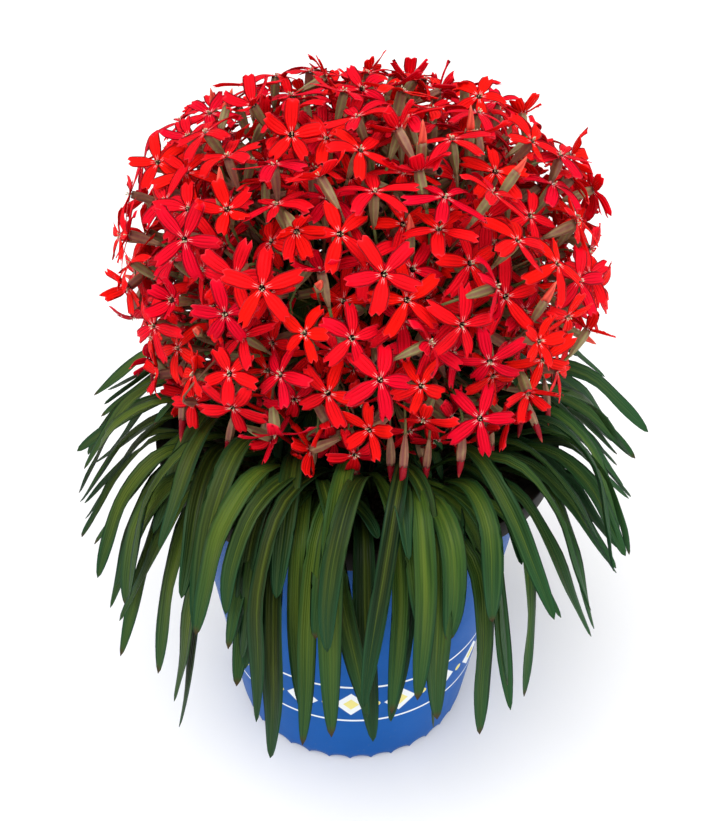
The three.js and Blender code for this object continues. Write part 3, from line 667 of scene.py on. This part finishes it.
def extraFlowers():
    taken = np.array([b["centre"] for blooms, _ in flowers.values() for b in blooms])
    points, normals = fillGaps(extraPlan["blooms"], taken)
    # near the top they lean over to any side, so that few lie flat there
    lean = either((len(points), 2)) * extraPlan["topTilt"]
    upward = np.full(len(points), extraPlan["upward"])
    facing = unit(normals + np.column_stack([lean * normals[:, 2:] ** 2, upward]))
    anySide = unit(np.cross(facing, unit(either(facing.shape))))
    for centre, normal, side in zip(points, facing, anySide):
        name, start = carrier(centre, normal)
        funnel = rng.uniform() < extraPlan["funnels"]
        lift = rng.uniform(*extraPlan["funnelLift" if funnel else "openLift"])
        reach = math.sqrt(rng.uniform(*extraPlan["reach"]) ** 2 - lift**2)
        petals = np.stack([np.radians(np.arange(5) * 72 + rng.uniform(*extraPlan["turnStray"], 5)),
                           reach * rng.uniform(*extraPlan["reachStray"], 5),
                           lift + rng.uniform(*extraPlan["liftStray"], 5),
                           rng.uniform(*extraPlan["half"], 5)], 1)
        flowers[name][0].append({"centre": centre, "normal": normal, "side": side,
                                 "petals": petals, "start": start})
    taken = np.concatenate([taken, points])
    spent, normals = fillGaps(extraPlan["spent"], taken)
    facing = unit(normals)
    calyces = {name: [] for name in sprayNames}
    for centre, normal in zip(spent, facing):
        name, start = carrier(centre, normal)
        calyces[name].append({"centre": centre, "normal": normal, "start": start})
    # faded flowers hang round the dome's lower edge
    taken = np.concatenate([taken, spent])
    faded, normals = fillGaps(extraPlan["faded"], taken, extraPlan["fadedHighest"])
    facing = unit(extraPlan["fadedOut"] * normals - np.array([0, 0, extraPlan["fadedDown"]]))
    for centre, normal in zip(faded, facing):
        name, start = carrier(centre, normal)
        flowers[name][1].append({"centre": centre, "normal": normal, "start": start,
                                 "tip": rng.uniform(*extraPlan["fadedTip"]),
                                 "age": rng.uniform(*extraPlan["fadedAge"])})
    print("added:", len(points), "blooms,", len(spent), "spent calyces,", len(faded), "faded flowers")
    return calyces


spentCalyces = extraFlowers()

# Blooms, buds and their stalks
petal = {"rows": 8, "columns": 5, "clawOut": 1.25, "clawShare": 0.42, "broadest": 0.42, "width": 0.88,
         "notch": (0.82, 0.93), "shoulder": (0.85, 0.94), "thickness": 0.42, "arch": (-0.6, 1.2),
         "tipCurl": (-2.8, 1.3), "twist": 25, "bend": 0.09, "fold": (-0.22, 0.4), "tipSkew": 0.05,
         "tipNarrow": 0.14, "tipFrom": 0.8, "rise": 0.45, "liftEarly": 0.45, "liftLate": 0.55,
         "shared": 0.7, "single": 0.3}


def petalShapes(centre, normal, ahead, reach, lift, half, tone):
    # Lengthwise share s and place across u: the half width grows from the claw as a smooth step,
    # the reach dips at the middle of the tip and at its sides, and the height is a low arch that
    # ends at the lift. The blade then folds along its middle, twists and bends aside.
    count = len(reach)
    s = shares(petal["rows"])
    u, below = bladeRing(petal["columns"])
    reach, lift, half = column(reach), column(lift), column(half)
    draw = {key: rng.uniform(*petal[key], (count, 1, 1))
            for key in ("notch", "shoulder", "arch", "tipCurl", "fold")}
    own = rng.uniform(0, 1, (count, 1, 1))
    lobes = 1 - np.abs(np.abs(u) - 0.5) * 2
    low = np.where(np.abs(u) < 0.5, draw["notch"], draw["shoulder"])
    tip = (low + (1 - low) * lobes) * (1 + petal["tipSkew"] * either((count, 1, 1)) * u)
    out = petal["clawOut"] + (reach * (1 + (tip - 1) * s**4) - petal["clawOut"]) * s
    width = petal["clawShare"] + (1 - petal["clawShare"]) * smooth(s / petal["broadest"])
    tipShare = smooth((s - petal["tipFrom"]) / (1 - petal["tipFrom"]))
    width = width * (1 - petal["tipNarrow"] * tipShare) * half * petal["width"]
    aside = u * width
    crease = np.abs(aside) * draw["fold"]
    twist = np.radians(petal["twist"]) * either((count, 1, 1)) * s
    height = (petal["rise"] * (1 - s) + lift * (petal["liftEarly"] * s + petal["liftLate"] * s**2)
              + draw["arch"] * np.sin(math.pi * s) + draw["tipCurl"] * s**5)
    height = height + aside * np.sin(twist) + crease * np.cos(twist)
    aside = aside * np.cos(twist) - crease * np.sin(twist)
    aside = aside + petal["bend"] * either((count, 1, 1)) * reach * s**2
    height = height - below * petal["thickness"] * (1 - 0.5 * s)
    across = np.cross(normal, ahead)
    shape = (centre[:, None, None] + out[..., None] * ahead[:, None, None]
             + aside[..., None] * across[:, None, None] + height[..., None] * normal[:, None, None])
    return shape, placed(s, u, column(tone) * petal["shared"] + own * petal["single"], shape), petalRed


calyx = {"behind": (15.3, 13.0, 9.5, 5.5, 2.0, 0.3, 0.9, 2.2),
         "radius": (0.75, 1.15, 1.85, 2.25, 2.15, 1.95, 1.45, 0.4), "ring": 10, "ribs": 5,
         "relief": 0.08, "hint": (0.3, 0.5, 0.1), "openSwell": (0.9, 1.1), "budSwell": (0.85, 1.0),
         "spentSwell": (0.75, 1.1), "spentAge": (0.3, 1)}
stamens = {"height": (0.6, 2.6), "lean": (0.5, 1.5), "rows": (0, 0.7, 0.82, 1.0), "foot": 0.8, "out": 0.4,
           "radius": (0.14, 0.13, 0.36, 0.18), "ring": 4}
scales = {"out": 1.5, "height": 0.9, "lean": 0.9, "grown": (0.7, 1.2), "rows": (0, 0.6, 1),
          "radius": (0.28, 0.24, 0.08), "ring": 4}
budTip = {"radius": (1.9, 1.75, 1.5, 1.15, 0.75, 0.15), "ring": 6, "ribs": 3, "relief": 0.14,
          "hint": (0.2, -0.4, 0.3), "twist": 70}
stalk = {"rows": 6, "ring": 6, "radius": (1.0, 0.62, 0.55, 0.55, 0.6, 0.78), "pull": 0.35, "into": 0.6}


def stalkSets(starts, centres, normals):
    # each leaves its stem and ends along the calyx
    ends = centres - flowerPlan["calyxLength"] * normals
    run = np.linalg.norm(ends - starts, axis=1)[:, None]
    bend = ends - normals * run * stalk["pull"]
    paths = curve(shares(stalk["rows"]), starts[:, None], bend[:, None],
                  (ends + stalk["into"] * normals)[:, None])
    return *tubes(paths, stalk["radius"], stalk["ring"], rng.uniform(0, 1, len(starts))), stalkGreen


def ribbed(plan, centres, normals, along, swell, twist, age):
    # rows of a round profile along the flower's own direction, each radius swelled by the cosine
    # of as many waves around it as there are ribs
    first, second = squareTo(normals, plan["hint"])
    turn = turns(plan["ring"])[None, None]
    rib = np.cos(plan["ribs"] * turn)
    out = np.array(plan["radius"])[None, :, None] * swell * (1 + plan["relief"] * rib)
    paths = centres[:, None] + along * normals[:, None]
    shape = rings(paths, out, turn + twist, first[:, None], second[:, None])
    return shape, placed(shares(len(plan["radius"])), rib, column(age), shape)


def calyxSets(centres, normals, swell, age):
    # turned in at the throat
    along = -np.array(calyx["behind"])[None, :, None]
    return *ribbed(calyx, centres, normals, along, column(swell), 0, age), calyxGreen


def threads(feet, heads, plan, look):
    # straight tubes from foot to head
    t = np.array(plan["rows"])[None, :, None]
    paths = feet[:, None] * (1 - t) + heads[:, None] * t
    return *tubes(paths, plan["radius"], plan["ring"], np.full(len(feet), 0.5)), look


def bloomSets(blooms):
    centre, normal, side, start, petals = listed(blooms, "centre", "normal", "side", "start", "petals")
    over = np.cross(normal, side)
    turn = petals[:, :, 0, None]
    ahead = aimed(side[:, None], over[:, None], turn).reshape(-1, 3)
    reach, lift, half = (petals[:, :, k].ravel() for k in (1, 2, 3))
    centres, normals = np.repeat(centre, 5, axis=0), np.repeat(normal, 5, axis=0)
    tone = np.repeat(rng.uniform(0, 1, len(blooms)), 5)
    sets = [petalShapes(centres, normals, ahead, reach, lift, half, tone)]
    swell = rng.uniform(*calyx["openSwell"], len(blooms))
    sets.append(calyxSets(centre, normal, swell, rng.uniform(0, 1, len(blooms))))
    sets.append(stalkSets(start, centre, normal))
    # a little scale at the foot of each petal, and stamens that lean out of the throat
    feet = centres + scales["out"] * ahead
    grown = rng.uniform(*scales["grown"], (len(feet), 1))
    heads = feet + (scales["height"] * normals + scales["lean"] * ahead) * grown
    sets.append(threads(feet, heads, scales, scalePink))
    spin = rng.uniform(0, 2 * math.pi, (len(feet), 1))
    away = aimed(np.repeat(side, 5, axis=0), np.repeat(over, 5, axis=0), spin)
    rise = rng.uniform(*stamens["height"], (len(feet), 1))
    lean = rng.uniform(*stamens["lean"], (len(feet), 1))
    feet = centres - stamens["foot"] * normals + stamens["out"] * away
    sets.append(threads(feet, centres + rise * normals + lean * away, stamens, stamenCream))
    return sets


def budSets(buds):
    # a closed flower: a round tip whose ridges twist as they rise, in its calyx
    centre, normal, start, tip, age = listed(buds, "centre", "normal", "start", "tip", "age")
    t = shares(len(budTip["radius"]))
    along, twist = t * (column(tip) + 1) - 1, math.radians(budTip["twist"]) * t
    return [(*ribbed(budTip, centre, normal, along, 1, twist, age), budCoral),
            calyxSets(centre, normal, rng.uniform(*calyx["budSwell"], len(buds)), age),
            stalkSets(start, centre, normal)]


def spentSets(calyces):
    centre, normal, start = listed(calyces, "centre", "normal", "start")
    swell, age = (rng.uniform(*calyx[key], len(calyces)) for key in ("spentSwell", "spentAge"))
    return [calyxSets(centre, normal, swell, age), stalkSets(start, centre, normal)]


# Leaves: a curved midrib, two half blades that rise from its groove, and wavy edges
leaf = {"rows": 20, "columns": 7, "groove": 1.5, "keel": 0.45, "edge": 0.22, "wave": 0.75, "waves": 2.4,
        "sway": 3.2, "twist": 28}
stemLeaf = {"rows": 8, "columns": 5, "groove": 0.9, "keel": 0.3, "edge": 0.22, "wave": 0.3, "waves": 1.4,
            "sway": 0.6, "twist": 20, "out": 0.9, "hint": (0.2, 0.9, 0.1),
            "at": (0.3, 0.42, 0.54, 0.64, 0.73, 0.82, 0.91, 0.98),
            "length": (30, 50), "half": (3.4, 5.2), "rise": (0.35, 0.9), "droop": 0.75}


def leafShapes(form, line, down, half):
    # half width at share t: stalk to full as a quarter sine, then (1 - x^2)^power to the tip
    count = len(line)
    t = 1 - (1 - np.linspace(0, 1, form["rows"])) ** leafPlan["crowding"]
    mid = throughStations(t, leafPlan["stations"], line)
    below = unit(throughStations(t, leafPlan["stations"], down))
    forward = unit(np.gradient(mid, axis=1))
    up = -unit(below - (below * forward).sum(-1, keepdims=True) * forward)
    side = np.cross(up, forward)
    # the blade sways a little to its sides and twists on its way to the tip
    phase = rng.uniform(0, 2 * math.pi, (count, 1, 1))
    t = t[None, :, None]
    along = 2 * leafPlan["swayTurns"] * math.pi * t
    sway = form["sway"] * (np.sin(along + phase) - np.sin(phase))
    mid = mid + sway * t * side
    twist = np.radians(form["twist"]) * either((count, 1, 1)) * smooth(t)
    up, side = aimed(up, side, twist), aimed(side, -up, twist)
    broadest, narrow = leafPlan["broadest"], leafPlan["stalkShare"]
    opening = narrow + (1 - narrow) * np.sin(math.pi / 2 * np.minimum(1, t / broadest))
    closing = (1 - np.clip((t - broadest) / (1 - broadest), 0, 1) ** 2) ** leafPlan["tipPower"]
    share = opening * closing
    width = np.maximum(column(half) * share, leafPlan["tipHalf"])
    u, under = bladeRing(form["columns"])
    sides = phase + leafPlan["wavePhase"] * np.sign(u)
    wave = form["wave"] * share * u**2 * np.sin(2 * math.pi * form["waves"] * t + sides)
    height = -form["groove"] * share * (1 - np.abs(u)) ** leafPlan["grooveCurve"] + wave
    keel = form["keel"] * (leafPlan["keelLeast"] + (1 - leafPlan["keelLeast"]) * share)
    height = height - under * (form["edge"] + keel * (1 - np.abs(u)) ** 2)
    shape = (mid[:, :, None] + (u * width)[..., None] * side[:, :, None]
             + height[..., None] * up[:, :, None])
    return shape, placed(t, u, rng.uniform(0, 1, (count, 1, 1)), shape), leafGreen


# Shorter leaves between the nodes' own: those of the tuft, cut, turned about the pot and raised.
# They are thick at the front and back, and few at the left and right, where the rim shows.
shortLeaves = {"front": 8, "side": 1, "cut": (0.4, 0.86), "turn": 15, "up": (0, 10), "half": (0.8, 1.1)}


def withShorter(line, down, half, tuftTurn):
    more = (shortLeaves["front"] - shortLeaves["side"]) * math.sin(tuftTurn) ** 4
    pick = rng.integers(0, len(line), shortLeaves["side"] + round(more))
    cuts = rng.uniform(*shortLeaves["cut"], len(pick))
    moves = np.radians(shortLeaves["turn"]) * either(len(pick))
    t = leafPlan["stations"]
    for k, cut, turn in zip(pick, cuts, moves):
        about = np.array(Matrix.Rotation(turn, 3, "Z")).T
        path = throughStations(t * cut, t, line[k:k + 1]) @ about
        path[..., 2] += rng.uniform(*shortLeaves["up"]) * smooth(t * 2)
        line = np.concatenate([line, path])
        down = np.concatenate([down, throughStations(t * cut, t, down[k:k + 1]) @ about])
        half = np.append(half, half[k] * rng.uniform(*shortLeaves["half"]))
    return line, down, half


stem = {"rows": 18, "ring": 6, "low": 1.5, "high": 1.0, "from": 0.02}


def stemSets(k):
    # the stem, and small leaves on it in opposite pairs, each pair square to the one below
    t = np.linspace(stem["from"], 1, stem["rows"])
    radii = np.linspace(stem["low"], stem["high"], stem["rows"])
    sets = [(*tubes(stemCurves(t)[k:k + 1], radii, stem["ring"], rng.uniform(0, 1, 1)), stalkGreen)]
    at = np.array(stemLeaf["at"])
    roots, ahead = stemCurves(at)[k], unit(stemCurves(at + 0.02)[k] - stemCurves(at)[k])
    spin = (rng.uniform(0, 2 * math.pi) + np.arange(len(at)) * math.pi / 2)[:, None]
    first, second = squareTo(ahead, stemLeaf["hint"])
    away = aimed(first, second, spin)
    away = np.concatenate([away, -away])
    roots, ahead = np.concatenate([roots, roots]), np.concatenate([ahead, ahead])
    count = len(roots)
    s = leafPlan["stations"][None, :, None]
    upward = rng.uniform(*stemLeaf["rise"], (count, 1, 1)) * s - stemLeaf["droop"] * s**2
    size = rng.uniform(*stemLeaf["length"], (count, 1, 1))
    line = roots[:, None] + size * (stemLeaf["out"] * s * away[:, None] + upward * ahead[:, None])
    down = np.repeat(-ahead[:, None], len(leafPlan["stations"]), axis=1)
    sets.append(leafShapes(stemLeaf, line, down, rng.uniform(*stemLeaf["half"], count)))
    return sets


for k, name in enumerate(sprayNames):
    blooms, buds = flowers[name]
    sets = stemSets(k)
    sets += bloomSets(blooms) if blooms else []
    sets += budSets(buds) if buds else []
    sets += spentSets(spentCalyces[name]) if spentCalyces[name] else []
    makePiece("spray_" + name[-2:], sets, name)
print("sprays made")

# Each tuft: its leaves, and the short crown that they grow from
crown = {"foot": 181.5, "above": 2, "out": (57, 70), "ring": 8, "radius": (3.6, 3.4, 3.0, 2.4, 1.4)}
for name in tuftNames:
    number = int(name[-2:])
    line, down, half = listed(leaves[name], "line", "down", "half")
    turn = (number - 0.5) / len(tuftNames) * 2 * math.pi
    out = crown["out"][number % 2]
    path = np.full((1, len(crown["radius"]), 3), (out * math.cos(turn), out * math.sin(turn), 0))
    path[..., 2] = np.linspace(crown["foot"], line[:, 0, 2].max() + crown["above"], path.shape[1])
    stub = (*tubes(path, crown["radius"], crown["ring"], [0.5]), stalkGreen)
    blades = leafShapes(leaf, *withShorter(line, down, half, turn))
    makePiece("leaves_" + name[-2:], [blades, stub], name)
print("leaves made")


# The pot and its soil: a profile carried round the axis
def rounded(points, trim, steps=4):
    # each corner becomes a short quadratic curve that starts and ends at most trim from it
    points = np.array(points, float)
    lines = [points[:1]]
    for before, corner, after in zip(points[:-2], points[1:-1], points[2:]):
        start, end = (corner + unit(way) * min(trim, 0.45 * np.linalg.norm(way))
                      for way in (before - corner, after - corner))
        lines.append(curve(np.linspace(0, 1, steps)[:, None], start, corner, end))
    return np.concatenate([*lines, points[-1:]])


def turned(name, profile, around, replaced, shift, looks, lookOf=None):
    # rows of the profile's radius and height at each turn, closed by a fan at both ends; shift
    # moves whole arrays of points, and lookOf picks each face's material
    turn = turns(around)
    radius, height = profile[1:-1, 0, None], profile[1:-1, 1, None]
    points = np.stack(np.broadcast_arrays(radius * np.cos(turn), radius * np.sin(turn), height), -1)
    shift(points, turn)
    rows = len(points)
    ends = np.array([[0, 0, profile[0, 1]], [0, 0, profile[-1, 1]]])
    at, beside, quads = wallFaces(rows, around)
    first = np.stack([np.full(around, rows * around), beside[0], at[0]], -1)
    last = np.stack([at[-1], beside[-1], np.full(around, rows * around + 1)], -1)
    mesh = bpy.data.meshes.new(name)
    mesh.from_pydata(np.concatenate([points.reshape(-1, 3), ends]) * 0.001, [],
                     quads.tolist() + first.tolist() + last.tolist())
    for look in looks:
        mesh.materials.append(look)
    if lookOf is not None:
        row = np.concatenate([np.repeat(np.arange(rows - 1), around), np.zeros(around, int),
                              np.full(around, rows - 1)])
        mesh.polygons.foreach_set("material_index", lookOf(points, row).astype(np.int32))
    mesh.polygons.foreach_set("use_smooth", np.ones(len(mesh.polygons), bool))
    mesh.update()
    settle(name, mesh, replaced)


pot = {"rim": 115, "height": 205, "bodyTop": 101.5, "foot": 76.5, "wall": 2.8, "band": 14, "lip": 8.5,
       "step": 7.5, "ledge": 5.4, "scallop": 3.6, "scallops": 36, "around": 288, "trim": 1.6,
       "flat": 5, "footIn": 0.6, "footOut": 0.9, "footHeight": 8, "waistIn": 9, "waist": 121,
       "bandIn": 1.5, "lipIn": 0.6, "lipFoot": 0.4, "scallopHeight": 2.4, "scallopIn": 3.0,
       "scallopTop": 4, "scallopPower": 0.7, "rimStep": 0.8}
bandFoot, lipInside = pot["height"] - pot["band"], pot["rim"] - pot["lip"]
innerTop, ledge = lipInside - pot["step"], pot["height"] - pot["ledge"]
# from the middle underneath out to the foot, up to the rim, over the lip and down inside
potProfile = rounded([
    (0, 0), (pot["foot"] - pot["flat"], 0), (pot["foot"] - pot["footIn"], 0),
    (pot["foot"] + pot["footOut"], pot["footHeight"]), (pot["bodyTop"] - pot["waistIn"], pot["waist"]),
    (pot["bodyTop"], bandFoot), (pot["rim"] - pot["bandIn"], bandFoot), (pot["rim"], pot["height"]),
    (lipInside, pot["height"]), (lipInside - pot["lipIn"], ledge + pot["lipFoot"]), (innerTop, ledge),
    (pot["foot"] - pot["wall"], pot["wall"]), (0, pot["wall"])], pot["trim"])


def scalloped(points, turn):
    # the foot's edge lifts between its points as a power of a sine, and less with the height
    out, height = np.hypot(points[..., 0], points[..., 1]), points[..., 2]
    near = np.exp(-((height / pot["scallopHeight"]) ** 2))
    near = near * (out > pot["foot"] - pot["scallopIn"]) * (height < pot["scallopTop"])
    wave = np.abs(np.sin(pot["scallops"] / 2 * turn)) ** pot["scallopPower"]
    points[..., 2] += near * pot["scallop"] * wave


def potLooks(points, row):
    # dark from the rows just under the first that stands out past the body, blue below them
    return (row > np.argmax(points[:, 0, 0] > pot["bodyTop"] + pot["rimStep"]) - 2).astype(int)


turned("pot_moulded", potProfile, pot["around"], "pot", scalloped, (potBlue, rimDark), potLooks)

soil = {"top": 189, "bottom": 3.1, "gap": 0.3, "rings": 46, "around": 200, "bumps": 0.8, "crumbs": 0.45,
        "edgeHigh": 1, "edgeLow": 1.6, "edgeIn": 0.5, "middle": 1.5, "lower": 1.6,
        "waves": (5.1, 7.3, 4.3, 2.3, 2.9)}


def soilWide(z):
    # the pot's inner radius at a height, less the gap
    share = (z - pot["wall"]) / (ledge - pot["wall"])
    return pot["foot"] - pot["wall"] + share * (innerTop - pot["foot"] + pot["wall"]) - soil["gap"]


soilRings = np.linspace(soilWide(soil["top"]) - soil["edgeIn"], soil["middle"], soil["rings"])
soilProfile = np.array([(0, soil["bottom"]), (soilWide(soil["bottom"]), soil["bottom"]),
                        (soilWide(soil["top"] - soil["edgeHigh"]), soil["top"] - soil["edgeLow"]),
                        *[(r, soil["top"]) for r in soilRings], (0, soil["top"])])


def crumbly(points, turn):
    # low waves in both directions, none of them above the soil's own height, and a little scatter
    x, y, z = points[..., 0], points[..., 1], points[..., 2]
    a, b, c, d, e = soil["waves"]
    low = np.sin(x / a + 1.2 * np.sin(y / b)) * np.cos(y / c + 0.7) + 0.6 * np.sin(x / d - y / e)
    rough = soil["bumps"] * (low - soil["lower"]) * 0.5 + soil["crumbs"] * either(z.shape)
    points[..., 2] += (z > soil["top"] - 0.5) * rough


turned("soil_bed", soilProfile, soil["around"], "soil", crumbly, (pottingSoil,))
print("pot and soil made")

# Floor, light and camera, in metres
studio = {"floor": 9.0, "first": (0.9, 0.9, 0.9), "second": (0.88, 0.88, 0.88), "world": 0.58}
floorMesh = bpy.data.meshes.new("floor")
half = studio["floor"]
floorMesh.from_pydata([(-half, -half, 0), (half, -half, 0), (half, half, 0), (-half, half, 0)], [],
                      [(0, 1, 2, 3)])
floorMesh.materials.append(plainLook("floorPale", studio["first"], studio["second"], 0.9, 2.0))
floor = shown("floor", floorMesh)

world = bpy.data.worlds.new("studio")
bpy.context.scene.world = world
world.use_nodes = True
world.node_tree.nodes["Background"].inputs[0].default_value = (1, 1, 1, 1)
world.node_tree.nodes["Background"].inputs[1].default_value = studio["world"]

lamps = {"key": {"from": (-0.5, -0.8, 1.6), "strength": 2.5, "softness": 50},
         "fill": {"from": (1.5, -0.9, 1.1), "strength": 1.1, "softness": 60}}
for name, lamp in lamps.items():
    light = bpy.data.lights.new(name, "SUN")
    light.energy, light.angle = lamp["strength"], math.radians(lamp["softness"])
    holder = shown(name, light)
    holder.location = lamp["from"]
    holder.rotation_euler = (-Vector(lamp["from"])).to_track_quat("-Z", "Y").to_euler()

camera = {"at": (0.0013, -0.417, 0.468), "down": 31.6, "roll": 1.4, "focal": 850, "longSide": 821}
lens = bpy.data.cameras.new("photoView")
lens.lens = camera["focal"] / camera["longSide"] * lens.sensor_width
lens.clip_start = 0.01
viewer = shown("photoView", lens)
viewer.matrix_world = (Matrix.Translation(camera["at"])
                       @ Matrix.Rotation(math.radians(90 - camera["down"]), 4, "X")
                       @ Matrix.Rotation(math.radians(camera["roll"]), 4, "Z"))
bpy.context.scene.camera = viewer
bpy.context.scene.view_settings.view_transform = "Standard"
print("floor, light and camera made")

counts = []
for piece in pieces:
    piece.data.calc_loop_triangles()
    counts.append(len(piece.data.loop_triangles))
print("triangles:", sum(counts), "in all,", max(counts), "in the largest piece")
